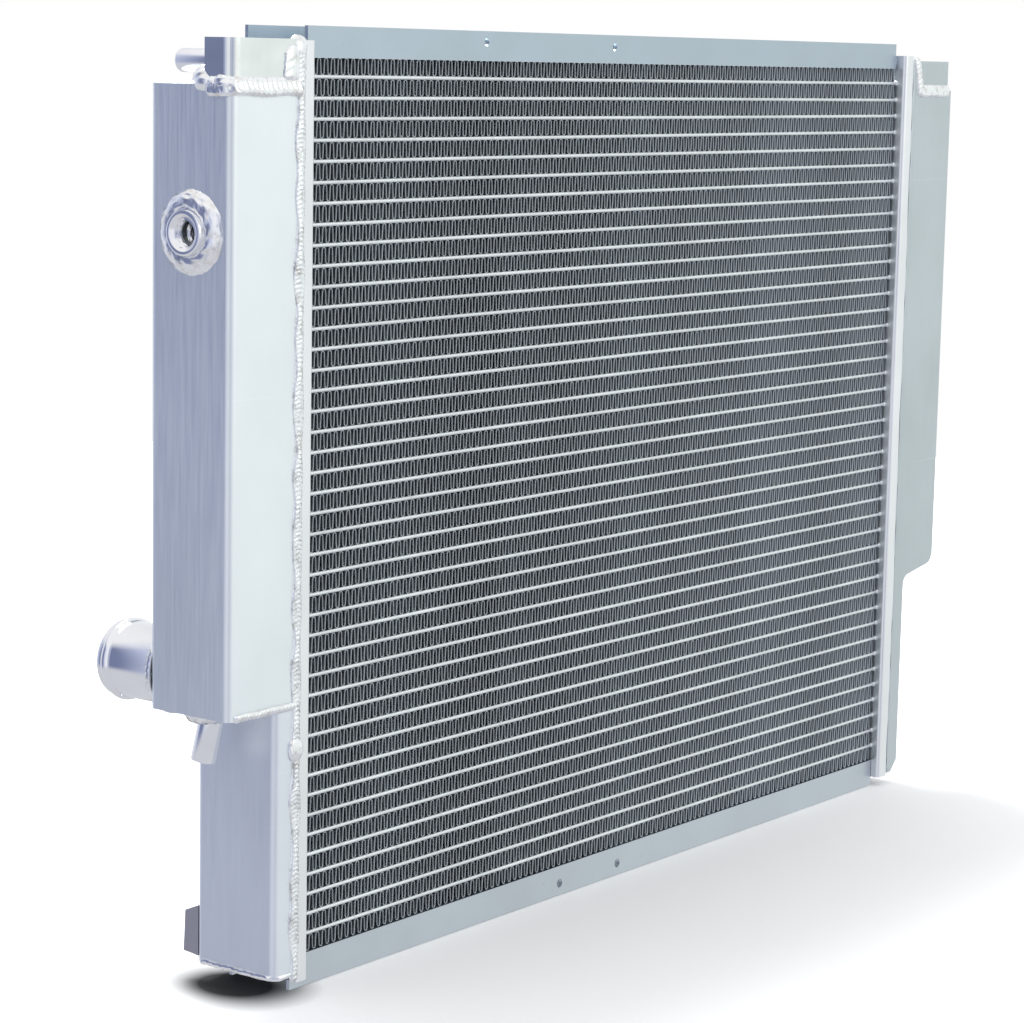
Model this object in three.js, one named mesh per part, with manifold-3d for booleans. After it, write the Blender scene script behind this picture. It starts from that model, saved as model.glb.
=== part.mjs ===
// Cross-flow aluminium car radiator: a brazed core of flat tubes between two header plates, with fin rows
// between the tubes, a folded side channel above and below, and a stepped welded tank at each end.
// Millimetres, +Z up, +X across the width, +Y towards the engine (hose) side.
// Inside the radiator group, X = 0 is the middle of the core, Y = 0 its mid-plane and Z = 0 the lower edge
// of the bottom channel. The group is then moved so that the origin is below the middle of its box.

import * as THREE from 'three';
import { mergeVertices } from 'three/addons/utils/BufferGeometryUtils.js';
import Module from 'manifold-3d';

const wasm = await Module();
wasm.setup();

// Core
const TUBE_COUNT = 43;
const TUBE_PITCH = 10;
const TUBE_THICKNESS = 2;
const LOWEST_TUBE_Z = 26;
const CORE_DEPTH = 40;
const CORE_HALF_WIDTH = 276.8;
const TUBE_END_IN_PLATE = 1;
const FIN_DEPTH = 39;
const CLEARANCE = 0.3;

// Header plates, with a flange along each long edge that turns towards the tank
const HEADER_SHEET = 2;
const HEADER_FLANGE = 9.2;
const HEADER_BOTTOM = 5.5;
const HEADER_TOP = 463;

// Side channels
const CHANNEL_SHEET = 2;
const CHANNEL_HALF_WIDTH = CORE_HALF_WIDTH - 0.4;
const TOP_CHANNEL_RIGHT_END = 274.2;
const BOTTOM_CHANNEL_HEIGHT = 16.5;
const TOP_CHANNEL_BOTTOM = 455;
const OVERALL_HEIGHT = 470;
const CHANNEL_TONGUE = { end: -284, top: 5 };
const TOP_HOLES = { radius: 2, places: [[-138.6, 464.4], [-26.1, 463.6]] };
const BOTTOM_HOLES = { radius: 2.5, places: [[-59.6, 6.7], [-4.6, 6.7]] };

// Tanks
const TANK_DEPTH = 52;
const TANK_WALL = 3;
const TANK_INNER_X = 286.4;
const LEFT_OUTER_X = -335.6;
const LEFT_LOWER_X = -302;
const TANK_TOP = 442;
const STEP_Z = 144;
const LEFT_BOTTOM = 10;
const FOLD_RADIUS = 4;
const RIGHT = { outer: 334.4, lowerOuter: 298.4, step: 138.5, stepRise: 3.5, bottom: 7, chamfer: 7 };
const RIGHT_CORNER_RADIUS = 8;
const RIGHT_FILLET_RADIUS = 7;

// Raised boxes on the tank tops
const TOP_BOX_DEPTH = 17;
const TOP_BOX_RADIUS = 6;
const LEFT_BOX_TOP = 463.5;
const RIGHT_BOX_TOP = 460;

// Fittings
const NECK = { radius: 19, bore: 17, bead: 20.6, beadFrom: 29, beadLength: 6, length: 38 };
const OUTLET = { x: -314, z: 160.5 };
const INLET = { x: 311, z: 398 };
const BOSS = { y: -1.2, z: 373.5, radius: 11, bore: 6, proud: 6, countersink: 1.4 };
const BLEED = { x: -320, z: 452.7, radius: 5.6, bore: 4, end: 20, edge: 0.8 };
const PIN = { radius: 6.2, x: -320, y: -1.4, end: 119, lean: [-0.11, 0.15] };
const FOOT = { x: -300, thickness: 4, bottom: 12, top: 38, reach: 10 };

const CURVE_STEPS = 6;
const ROUND_STEPS = 28;
const HOLE_STEPS = 16;

const COLOURS = {
  polished: { color: 0xd6d9e2, roughness: 0.14, metalness: 1 },
  brushed: { color: 0xb9c2d8, roughness: 0.38, metalness: 0.9 },
  mill: { color: 0xd3dede, roughness: 0.45, metalness: 0.85 },
  tubes: { color: 0xd2d6d8, roughness: 0.35, metalness: 0.9 },
  fins: { color: 0x6a7378, roughness: 0.6, metalness: 0.8 },
};

// A closed geometry as a manifold solid, and back.

function toSolid(geometry) {
  const bare = geometry.index ? geometry.toNonIndexed() : geometry.clone();
  bare.deleteAttribute('normal');
  bare.deleteAttribute('uv');
  const merged = mergeVertices(bare, 1e-4);
  return new wasm.Manifold(new wasm.Mesh({
    numProp: 3,
    vertProperties: new Float32Array(merged.attributes.position.array),
    triVerts: new Uint32Array(merged.index.array),
  }));
}

function toGeometry(solid) {
  const mesh = solid.getMesh();
  const geometry = new THREE.BufferGeometry();
  geometry.setAttribute('position', new THREE.BufferAttribute(new Float32Array(mesh.vertProperties), 3));
  geometry.setIndex(new THREE.BufferAttribute(new Uint32Array(mesh.triVerts), 1));
  return geometry;
}

function joined(solids) {
  return solids.reduce((sum, solid) => sum.add(solid));
}

// Simple solids, each in the radiator's own coordinates.

function boxSolid([x0, x1], [y0, y1], [z0, z1]) {
  const geometry = new THREE.BoxGeometry(x1 - x0, y1 - y0, z1 - z0);
  geometry.translate((x0 + x1) / 2, (y0 + y1) / 2, (z0 + z1) / 2);
  return toSolid(geometry);
}

function cylinderSolid(radius, from, to, steps = HOLE_STEPS) {
  const start = new THREE.Vector3(...from);
  const along = new THREE.Vector3(...to).sub(start);
  const geometry = new THREE.CylinderGeometry(radius, radius, along.length(), steps);
  geometry.translate(0, along.length() / 2, 0);
  const turn = new THREE.Quaternion().setFromUnitVectors(new THREE.Vector3(0, 1, 0), along.normalize());
  geometry.applyQuaternion(turn);
  geometry.translate(start.x, start.y, start.z);
  return toSolid(geometry);
}

// An outline in X and Z, given thickness from y0 to y1.
function sideSolid(shape, y0, y1) {
  const options = { depth: y1 - y0, bevelEnabled: false, curveSegments: CURVE_STEPS };
  const geometry = new THREE.ExtrudeGeometry(shape, options);
  geometry.rotateX(Math.PI / 2);
  geometry.translate(0, y1, 0);
  return toSolid(geometry);
}

// An outline in X and Y, given height from z0 to z1.
function uprightSolid(shape, z0, z1) {
  const options = { depth: z1 - z0, bevelEnabled: false, curveSegments: CURVE_STEPS };
  const geometry = new THREE.ExtrudeGeometry(shape, options);
  geometry.translate(0, 0, z0);
  return toSolid(geometry);
}

// A ring turned about an axis that points along +Y; the profile is [radius, distance] and closes on itself.
function turnedGeometry(profile) {
  const points = [...profile, profile[0]].map(([radius, y]) => new THREE.Vector2(radius, y));
  return new THREE.LatheGeometry(points, ROUND_STEPS);
}

// Flat tubes with rounded noses, brazed into two header plates.

function tubeSolid(z) {
  const nose = TUBE_THICKNESS / 2;
  const flat = CORE_DEPTH / 2 - nose;
  const shape = new THREE.Shape();
  shape.moveTo(-flat, -nose);
  shape.lineTo(flat, -nose);
  shape.absarc(flat, 0, nose, -Math.PI / 2, Math.PI / 2);
  shape.lineTo(-flat, nose);
  shape.absarc(-flat, 0, nose, Math.PI / 2, 1.5 * Math.PI);
  const half = CORE_HALF_WIDTH + TUBE_END_IN_PLATE;
  const settings = { depth: 2 * half, bevelEnabled: false, curveSegments: 3 };
  const geometry = new THREE.ExtrudeGeometry(shape, settings);
  geometry.translate(0, 0, -half);
  geometry.rotateY(Math.PI / 2);
  geometry.rotateX(Math.PI / 2);
  geometry.translate(0, 0, z);
  return toSolid(geometry);
}

function headerSolid(side) {
  const outer = CORE_HALF_WIDTH + HEADER_FLANGE;
  const across = (a, b) => [side * a, side * b].sort((p, q) => p - q);
  const heights = [HEADER_BOTTOM, HEADER_TOP];
  const edge = TANK_DEPTH / 2;
  return joined([
    boxSolid(across(CORE_HALF_WIDTH, CORE_HALF_WIDTH + HEADER_SHEET), [-edge, edge], heights),
    boxSolid(across(CORE_HALF_WIDTH, outer), [-edge, HEADER_SHEET - edge], heights),
    boxSolid(across(CORE_HALF_WIDTH, outer), [edge - HEADER_SHEET, edge], heights),
  ]);
}

function coreSolid() {
  const pieces = [headerSolid(-1), headerSolid(1)];
  for (let i = 0; i < TUBE_COUNT; i += 1) {
    pieces.push(tubeSolid(LOWEST_TUBE_Z + i * TUBE_PITCH));
  }
  return joined(pieces);
}

function finGeometry() {
  const length = 2 * (CORE_HALF_WIDTH - CLEARANCE);
  const height = TUBE_PITCH - TUBE_THICKNESS - 2 * CLEARANCE;
  return new THREE.BoxGeometry(length, FIN_DEPTH, height);
}

// Side channels: a web against the last fin row and a flange along each face of the core.

function channelSolid([x0, x1], webZ, flangeZ, holes) {
  const half = CORE_DEPTH / 2;
  let solid = joined([
    boxSolid([x0, x1], [-half, half], webZ),
    boxSolid([x0, x1], [-half, CHANNEL_SHEET - half], flangeZ),
    boxSolid([x0, x1], [half - CHANNEL_SHEET, half], flangeZ),
  ]);
  for (const [x, z] of holes.places) {
    solid = solid.subtract(cylinderSolid(holes.radius, [x, -half - 1, z], [x, CHANNEL_SHEET + 1 - half, z]));
  }
  return solid;
}

function topChannelSolid() {
  const web = [TOP_CHANNEL_BOTTOM, TOP_CHANNEL_BOTTOM + CHANNEL_SHEET];
  const flange = [TOP_CHANNEL_BOTTOM, OVERALL_HEIGHT];
  return channelSolid([-CHANNEL_HALF_WIDTH, TOP_CHANNEL_RIGHT_END], web, flange, TOP_HOLES);
}

// The bottom channel's flanges run a little way under the left header plate.
function bottomChannelSolid() {
  const web = [BOTTOM_CHANNEL_HEIGHT - CHANNEL_SHEET, BOTTOM_CHANNEL_HEIGHT];
  const ends = [-CHANNEL_HALF_WIDTH, CHANNEL_HALF_WIDTH];
  const channel = channelSolid(ends, web, [0, BOTTOM_CHANNEL_HEIGHT], BOTTOM_HOLES);
  const half = CORE_DEPTH / 2;
  const tongue = [CHANNEL_TONGUE.end, -CHANNEL_HALF_WIDTH];
  return joined([
    channel,
    boxSolid(tongue, [-half, CHANNEL_SHEET - half], [0, CHANNEL_TONGUE.top]),
    boxSolid(tongue, [half - CHANNEL_SHEET, half], [0, CHANNEL_TONGUE.top]),
  ]);
}

// Left tank: two folded U-shaped shells, open to the header plate, with a flat step plate set into the foot
// of the upper one.

// The outline of a shell from above, with its folded corners on the outer side, shrunk by inset.
function foldedOutline(outerX, inset) {
  const x0 = outerX + inset;
  const y0 = TANK_DEPTH / 2 - inset;
  const radius = FOLD_RADIUS - inset;
  const shape = new THREE.Shape();
  shape.moveTo(-TANK_INNER_X, -y0);
  shape.lineTo(-TANK_INNER_X, y0);
  if (radius > 0) {
    shape.lineTo(x0 + radius, y0);
    shape.absarc(x0 + radius, y0 - radius, radius, Math.PI / 2, Math.PI);
    shape.absarc(x0 + radius, radius - y0, radius, Math.PI, 1.5 * Math.PI);
  } else {
    shape.lineTo(x0, y0);
    shape.lineTo(x0, -y0);
  }
  return shape;
}

function leftUpperSolid() {
  const outer = uprightSolid(foldedOutline(LEFT_OUTER_X, 0), STEP_Z, TANK_TOP);
  const room = uprightSolid(foldedOutline(LEFT_OUTER_X, TANK_WALL), STEP_Z - 1, TANK_TOP - TANK_WALL);
  const past = boxSolid([-TANK_INNER_X - 1, -TANK_INNER_X + 1],
    [TANK_WALL - TANK_DEPTH / 2, TANK_DEPTH / 2 - TANK_WALL], [STEP_Z - 1, TANK_TOP - TANK_WALL]);
  const outletEnd = [OUTLET.x, TANK_DEPTH, OUTLET.z];
  const outlet = cylinderSolid(NECK.bore, [OUTLET.x, 0, OUTLET.z], outletEnd, ROUND_STEPS);
  const sensorEnd = [LEFT_OUTER_X + 9, BOSS.y, BOSS.z];
  const sensor = cylinderSolid(BOSS.bore, [LEFT_OUTER_X - 1, BOSS.y, BOSS.z], sensorEnd);
  return outer.subtract(room).subtract(past).subtract(outlet).subtract(sensor);
}

function stepPlateSolid() {
  const plate = uprightSolid(foldedOutline(LEFT_OUTER_X, TANK_WALL + CLEARANCE), STEP_Z, STEP_Z + TANK_WALL);
  const passage = boxSolid([LEFT_LOWER_X + TANK_WALL, -TANK_INNER_X + 1],
    [TANK_WALL - TANK_DEPTH / 2, TANK_DEPTH / 2 - TANK_WALL], [STEP_Z - 1, STEP_Z + TANK_WALL + 1]);
  return plate.subtract(passage);
}

function leftLowerSolid() {
  const top = STEP_Z - CLEARANCE;
  const outer = uprightSolid(foldedOutline(LEFT_LOWER_X, 0), LEFT_BOTTOM, top);
  const room = uprightSolid(foldedOutline(LEFT_LOWER_X, TANK_WALL), LEFT_BOTTOM + TANK_WALL, top + 1);
  const past = boxSolid([-TANK_INNER_X - 1, -TANK_INNER_X + 1],
    [TANK_WALL - TANK_DEPTH / 2, TANK_DEPTH / 2 - TANK_WALL], [LEFT_BOTTOM + TANK_WALL, top + 1]);
  return outer.subtract(room).subtract(past);
}

// Right tank: one shell whose outline runs down, in over a rounded sloping step, and down again.

function rightOutline(inset) {
  const outer = RIGHT.outer - inset;
  const lower = RIGHT.lowerOuter - inset;
  const bottom = RIGHT.bottom + inset;
  const corner = RIGHT_CORNER_RADIUS - inset;
  const fillet = RIGHT_FILLET_RADIUS + inset;
  const step = RIGHT.step + inset;
  const inner = inset > 0 ? TANK_INNER_X - 1 : TANK_INNER_X;
  const shape = new THREE.Shape();
  shape.moveTo(inner, TANK_TOP - inset);
  shape.lineTo(inner, bottom);
  shape.lineTo(lower - RIGHT.chamfer, bottom);
  shape.lineTo(lower, bottom + RIGHT.chamfer);
  shape.lineTo(lower, step - RIGHT.stepRise - fillet);
  shape.absarc(lower + fillet, step - RIGHT.stepRise - fillet, fillet, Math.PI, Math.PI / 2, true);
  shape.lineTo(outer - corner, step);
  shape.absarc(outer - corner, step + corner, corner, -Math.PI / 2, 0, false);
  shape.lineTo(outer, TANK_TOP - inset);
  return shape;
}

function rightTankSolid() {
  const half = TANK_DEPTH / 2;
  const inlet = cylinderSolid(NECK.bore, [INLET.x, 0, INLET.z], [INLET.x, TANK_DEPTH, INLET.z], ROUND_STEPS);
  const room = sideSolid(rightOutline(TANK_WALL), TANK_WALL - half, half - TANK_WALL);
  return sideSolid(rightOutline(0), -half, half).subtract(room).subtract(inlet);
}

// Raised box along the front of a tank's top, rounded at its outer front corner.
function topBoxSolid(side, outerX, z0, z1) {
  const front = -TANK_DEPTH / 2;
  const back = front + TOP_BOX_DEPTH;
  const inner = side * TANK_INNER_X;
  const centre = outerX - side * TOP_BOX_RADIUS;
  const shape = new THREE.Shape();
  shape.moveTo(inner, front);
  shape.lineTo(inner, back);
  shape.lineTo(outerX, back);
  shape.lineTo(outerX, front + TOP_BOX_RADIUS);
  const start = side > 0 ? 0 : Math.PI;
  shape.absarc(centre, front + TOP_BOX_RADIUS, TOP_BOX_RADIUS, start, 1.5 * Math.PI, side > 0);
  return uprightSolid(shape, z0, z1);
}

// Fittings

// A hose neck with a rolled bead near its mouth, its foot at distance 0.
function neckGeometry() {
  const { radius, bore, bead, beadFrom, beadLength, length } = NECK;
  const swell = [];
  for (let i = 0; i <= CURVE_STEPS; i += 1) {
    const t = i / CURVE_STEPS;
    swell.push([radius + (bead - radius) * Math.sin(Math.PI * t), beadFrom + beadLength * t]);
  }
  return turnedGeometry([[bore, 0], [radius, 0], ...swell, [radius, length - 1], [radius - 1, length],
    [bore, length]]);
}

function bossGeometry() {
  const { radius, bore, proud, countersink } = BOSS;
  return turnedGeometry([[bore, 0], [radius, 0], [radius, proud - 1], [radius - 1, proud],
    [bore + countersink, proud], [bore, proud - countersink]]);
}

function bleedGeometry() {
  const { radius, bore, edge } = BLEED;
  const length = BLEED.end - (TOP_BOX_DEPTH - TANK_DEPTH / 2 + CLEARANCE);
  return turnedGeometry([[bore, 0], [radius, 0], [radius, length - edge], [radius - edge, length],
    [bore, length]]);
}

// A plain pin under the step plate, leaning a little outwards and back, cut flat against the plate.
function pinSolid() {
  const top = STEP_Z - CLEARANCE;
  const at = (z) => [PIN.x + PIN.lean[0] * (top - z), PIN.y + PIN.lean[1] * (top - z), z];
  const pin = cylinderSolid(PIN.radius, at(top + 5), at(PIN.end), ROUND_STEPS);
  return pin.subtract(boxSolid([LEFT_OUTER_X, LEFT_LOWER_X], [-TANK_DEPTH, TANK_DEPTH], [top, top + 20]));
}

// A small gusset welded to the back of the left tank near its foot.
function footGeometry() {
  const back = TANK_DEPTH / 2 + CLEARANCE;
  const shape = new THREE.Shape();
  shape.moveTo(back, FOOT.bottom);
  shape.lineTo(back + FOOT.reach, FOOT.bottom + 1);
  shape.lineTo(back + FOOT.reach - 1, FOOT.top - 4);
  shape.lineTo(back, FOOT.top);
  const geometry = new THREE.ExtrudeGeometry(shape, { depth: FOOT.thickness, bevelEnabled: false });
  geometry.rotateX(Math.PI / 2);
  geometry.rotateZ(Math.PI / 2);
  return geometry;
}

// Assembly

const radiator = new THREE.Group();

function add(name, geometry, colour, place = [0, 0, 0]) {
  const mesh = new THREE.Mesh(geometry, new THREE.MeshStandardMaterial(COLOURS[colour]));
  mesh.name = name;
  mesh.position.set(...place);
  radiator.add(mesh);
  return mesh;
}

add('tube_header_core', toGeometry(coreSolid()), 'tubes');

for (let i = 0; i <= TUBE_COUNT; i += 1) {
  const z = LOWEST_TUBE_Z + (i - 0.5) * TUBE_PITCH;
  add(`fin_row_${String(i + 1).padStart(2, '0')}`, finGeometry(), 'fins', [0, 0, z]);
}

add('top_side_channel', toGeometry(topChannelSolid()), 'mill');
add('bottom_side_channel', toGeometry(bottomChannelSolid()), 'mill');
add('left_tank_upper', toGeometry(leftUpperSolid()), 'brushed');
add('left_tank_step_plate', toGeometry(stepPlateSolid()), 'brushed');
add('left_tank_lower', toGeometry(leftLowerSolid()), 'brushed');
add('right_tank', toGeometry(rightTankSolid()), 'mill');

const boxFoot = TANK_TOP + CLEARANCE;
add('left_top_box', toGeometry(topBoxSolid(-1, LEFT_OUTER_X, boxFoot, LEFT_BOX_TOP)), 'polished');
add('right_top_box', toGeometry(topBoxSolid(1, RIGHT.outer, boxFoot, RIGHT_BOX_TOP)), 'mill');

const neckFoot = TANK_DEPTH / 2 + CLEARANCE;
add('outlet_neck', neckGeometry(), 'polished', [OUTLET.x, neckFoot, OUTLET.z]);
add('inlet_neck', neckGeometry(), 'polished', [INLET.x, neckFoot, INLET.z]);

const bleedFoot = TOP_BOX_DEPTH - TANK_DEPTH / 2 + CLEARANCE;
add('bleed_nipple', bleedGeometry(), 'polished', [BLEED.x, bleedFoot, BLEED.z]);

const boss = add('sensor_boss', bossGeometry(), 'polished', [LEFT_OUTER_X - CLEARANCE, BOSS.y, BOSS.z]);
boss.rotation.z = Math.PI / 2;

add('lower_pin', toGeometry(pinSolid()), 'polished');
add('rear_foot_tab', footGeometry(), 'brushed', [FOOT.x, 0, 0]);

// The origin is below the middle of the radiator's box, at its lowest level.
const box = new THREE.Box3().setFromObject(radiator);
radiator.position.set(-(box.min.x + box.max.x) / 2, -(box.min.y + box.max.y) / 2, -box.min.z);

const group = new THREE.Group();
group.add(radiator);

export default group;
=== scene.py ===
"""Welded aluminium car radiator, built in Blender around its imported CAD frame.

Lengths are millimetres in the radiator's own coordinates until mesh_object() turns them into the frame's
metres: X = 0 is the middle of the core, Y = 0 its mid-plane and Z = 0 the bottom channel's lower edge.
"""

import math
import random

import bpy
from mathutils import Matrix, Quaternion, Vector


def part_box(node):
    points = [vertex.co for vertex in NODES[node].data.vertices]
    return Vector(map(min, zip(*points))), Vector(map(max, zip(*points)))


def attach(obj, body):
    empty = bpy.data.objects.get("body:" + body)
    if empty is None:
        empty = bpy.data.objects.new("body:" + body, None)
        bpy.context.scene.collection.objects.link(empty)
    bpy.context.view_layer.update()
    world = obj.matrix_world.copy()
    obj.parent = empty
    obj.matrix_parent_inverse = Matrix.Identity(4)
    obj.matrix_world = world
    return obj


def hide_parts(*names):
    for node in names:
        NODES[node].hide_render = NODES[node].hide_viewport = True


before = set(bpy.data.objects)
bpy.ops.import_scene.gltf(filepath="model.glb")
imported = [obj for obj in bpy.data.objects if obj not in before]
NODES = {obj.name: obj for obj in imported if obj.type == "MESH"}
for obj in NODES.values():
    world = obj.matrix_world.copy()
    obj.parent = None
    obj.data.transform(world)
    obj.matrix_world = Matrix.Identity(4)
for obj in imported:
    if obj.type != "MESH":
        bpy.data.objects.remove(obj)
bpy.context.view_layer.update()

MM = 0.001


# ---------------------------------------------------------------- sizes, taken from the frame

def node_mm(name):
    """A node's lowest and highest corners in the radiator's coordinates, in millimetres."""
    low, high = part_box(name)
    return (low - ORIGIN) / MM, (high - ORIGIN) / MM


_core_low, _core_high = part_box("tube_header_core")
ORIGIN = Vector(((_core_low.x + _core_high.x) / 2, (_core_low.y + _core_high.y) / 2, 0))

CORE = node_mm("tube_header_core")
HEADER_OUT = CORE[1].x
HEADER_BOTTOM, HEADER_TOP = CORE[0].z, CORE[1].z
TANK_FRONT, TANK_BACK = CORE[0].y, CORE[1].y

FIN_NODES = sorted(name for name in NODES if name.startswith("fin_row_"))
FIN_BOXES = [node_mm(name) for name in FIN_NODES]
FIN_LOW, FIN_HIGH = FIN_BOXES[0]
FIN_HEIGHT = FIN_HIGH.z - FIN_LOW.z
FIN_ROWS = [(low.z + high.z) / 2 for low, high in FIN_BOXES]
PITCH = FIN_ROWS[1] - FIN_ROWS[0]
TUBE_ROWS = [z + PITCH / 2 for z in FIN_ROWS[:-1]]
TUBE_DEPTH = 40
TUBE_THICKNESS = 2
CORE_HALF = FIN_HIGH.x + 0.3
FIN_EDGE_FROM, FIN_EDGE_TO = FIN_HIGH.y - 0.35, FIN_HIGH.y - 0.1

LEFT = node_mm("left_tank_upper")
LEFT_LOWER = node_mm("left_tank_lower")
STEP = node_mm("left_tank_step_plate")
RIGHT = node_mm("right_tank")
LEFT_BOX = node_mm("left_top_box")
RIGHT_BOX = node_mm("right_top_box")


def middle(name):
    low, high = node_mm(name)
    return (low + high) / 2


# ---------------------------------------------------------------- camera

CAMERA_AT = Vector((-1.3403, -0.9741, 0.4554))
AZIMUTH, ELEVATION, ROLL = (math.radians(a) for a in (-52.857, 8.648, 1.131))
LENS = 104.2

camera_data = bpy.data.cameras.new("camera")
camera = bpy.data.objects.new("camera", camera_data)
bpy.context.scene.collection.objects.link(camera)
bpy.context.scene.camera = camera
camera_data.lens = LENS
camera_data.sensor_width = 36
camera_data.clip_start = 0.01
camera_data.clip_end = 50
camera.location = CAMERA_AT
camera.rotation_mode = "QUATERNION"
back = Vector((
    math.sin(AZIMUTH) * math.cos(ELEVATION),
    -math.cos(AZIMUTH) * math.cos(ELEVATION),
    math.sin(ELEVATION),
))
camera.rotation_quaternion = (-back).to_track_quat("-Z", "Y") @ Quaternion((0, 0, 1), ROLL)


# ---------------------------------------------------------------- materials

class Nodes:
    """A material's node tree with a Principled shader, and short calls that add to it."""

    def __init__(self, name, colour, roughness, metallic=1.0):
        self.material = bpy.data.materials.new(name)
        self.material.use_nodes = True
        self.tree = self.material.node_tree
        self.shader = self.tree.nodes["Principled BSDF"]
        self.shader.inputs["Base Color"].default_value = (*colour, 1)
        self.shader.inputs["Roughness"].default_value = roughness
        self.shader.inputs["Metallic"].default_value = metallic
        self.coordinates = self.tree.nodes.new("ShaderNodeTexCoord").outputs["Object"]
        self.bump_from = None

    def noise(self, scale, stretch=(1, 1, 1), detail=4, roughness=0.55):
        mapping = self.tree.nodes.new("ShaderNodeMapping")
        mapping.inputs["Scale"].default_value = stretch
        self.tree.links.new(self.coordinates, mapping.inputs["Vector"])
        texture = self.tree.nodes.new("ShaderNodeTexNoise")
        texture.inputs["Scale"].default_value = scale
        texture.inputs["Detail"].default_value = detail
        texture.inputs["Roughness"].default_value = roughness
        self.tree.links.new(mapping.outputs["Vector"], texture.inputs["Vector"])
        return texture.outputs["Fac"]

    def ramp(self, value, stops):
        node = self.tree.nodes.new("ShaderNodeValToRGB")
        elements = node.color_ramp.elements
        while len(elements) < len(stops):
            elements.new(0.5)
        for element, (place, colour) in zip(elements, stops):
            element.position = place
            element.color = (*colour, 1)
        self.tree.links.new(value, node.inputs["Fac"])
        return node.outputs["Color"]

    def range(self, value, low, high):
        node = self.tree.nodes.new("ShaderNodeMapRange")
        node.inputs["From Min"].default_value = 0.3
        node.inputs["From Max"].default_value = 0.7
        node.inputs["To Min"].default_value = low
        node.inputs["To Max"].default_value = high
        self.tree.links.new(value, node.inputs["Value"])
        return node.outputs["Result"]

    def mix(self, factor, a, b):
        node = self.tree.nodes.new("ShaderNodeMix")
        node.data_type = "RGBA"
        for socket, value in ((node.inputs["Factor"], factor), (node.inputs[6], a), (node.inputs[7], b)):
            if hasattr(value, "is_output"):
                self.tree.links.new(value, socket)
            elif isinstance(value, tuple):
                socket.default_value = (*value, 1)
            else:
                socket.default_value = value
        return node.outputs[2]

    def edges_along_y(self, start, end):
        """0 inside the piece, rising to 1 where |Y| passes from start to end."""
        split = self.tree.nodes.new("ShaderNodeSeparateXYZ")
        self.tree.links.new(self.coordinates, split.inputs["Vector"])
        size = self.tree.nodes.new("ShaderNodeMath")
        size.operation = "ABSOLUTE"
        self.tree.links.new(split.outputs["Y"], size.inputs[0])
        node = self.tree.nodes.new("ShaderNodeMapRange")
        node.inputs["From Min"].default_value = start
        node.inputs["From Max"].default_value = end
        self.tree.links.new(size.outputs[0], node.inputs["Value"])
        return node.outputs["Result"]

    def along_x(self, start, end, low, high):
        """A value that goes from low to high as X goes from start to end, in metres."""
        split = self.tree.nodes.new("ShaderNodeSeparateXYZ")
        self.tree.links.new(self.coordinates, split.inputs["Vector"])
        node = self.tree.nodes.new("ShaderNodeMapRange")
        node.inputs["From Min"].default_value = start
        node.inputs["From Max"].default_value = end
        node.inputs["To Min"].default_value = low
        node.inputs["To Max"].default_value = high
        self.tree.links.new(split.outputs["X"], node.inputs["Value"])
        return node.outputs["Result"]

    def set_colour(self, socket):
        self.tree.links.new(socket, self.shader.inputs["Base Color"])

    def set_roughness(self, socket):
        self.tree.links.new(socket, self.shader.inputs["Roughness"])

    def bump(self, height, strength, distance):
        node = self.tree.nodes.new("ShaderNodeBump")
        node.inputs["Strength"].default_value = strength
        node.inputs["Distance"].default_value = distance
        self.tree.links.new(height, node.inputs["Height"])
        if self.bump_from:
            self.tree.links.new(self.bump_from, node.inputs["Normal"])
        self.bump_from = node.outputs["Normal"]
        self.tree.links.new(self.bump_from, self.shader.inputs["Normal"])


def scaled(colour, factor):
    return tuple(min(1.0, c * factor) for c in colour)


def brushed_material(name, colour, roughness, grain):
    """Satin sheet: fine grain along one axis, faint cloudy patches and a few short scratches."""
    m = Nodes(name, colour, roughness)
    lines = m.noise(900, grain, detail=3)
    clouds = m.noise(9, (1, 1, 1), detail=3)
    scratches = m.noise(160, (grain[2] * 0.6, grain[2] * 0.6, grain[0] * 3), detail=2)
    tint = m.ramp(clouds, [(0.3, scaled(colour, 0.94)), (0.7, scaled(colour, 1.06))])
    marks = m.ramp(scratches, [(0.70, (0, 0, 0)), (0.76, (1, 1, 1))])
    m.set_colour(m.mix(marks, tint, scaled(colour, 1.12)))
    m.set_roughness(m.range(lines, roughness - 0.05, roughness + 0.06))
    m.bump(lines, 0.12, 0.0002)
    return m.material


def mill_material(name, colour, roughness):
    """Bare sheet as rolled: soft blotches, light dirt and a very fine grain along X."""
    m = Nodes(name, colour, roughness)
    blotches = m.noise(14, (1, 1, 1), detail=5, roughness=0.6)
    grain = m.noise(700, (0.06, 1, 1), detail=3)
    specks = m.noise(420, (1, 1, 1), detail=2)
    tint = m.ramp(blotches, [(0.28, scaled(colour, 0.92)), (0.72, scaled(colour, 1.05))])
    dirt = m.ramp(specks, [(0.70, (0, 0, 0)), (0.80, (0.5, 0.5, 0.5))])
    m.set_colour(m.mix(dirt, tint, scaled(colour, 0.72)))
    m.set_roughness(m.range(blotches, roughness - 0.07, roughness + 0.07))
    m.bump(grain, 0.08, 0.0002)
    return m.material


def polished_material(name, colour, roughness):
    """Polished metal with the faint smears and hairlines of hand work."""
    m = Nodes(name, colour, roughness)
    smears = m.noise(60, (1, 0.4, 1), detail=4)
    hairlines = m.noise(500, (1, 0.05, 1), detail=2)
    m.set_colour(m.ramp(smears, [(0.3, scaled(colour, 0.94)), (0.7, scaled(colour, 1.03))]))
    m.set_roughness(m.range(smears, roughness * 0.6, roughness * 1.5))
    m.bump(hairlines, 0.05, 0.0001)
    return m.material


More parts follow.
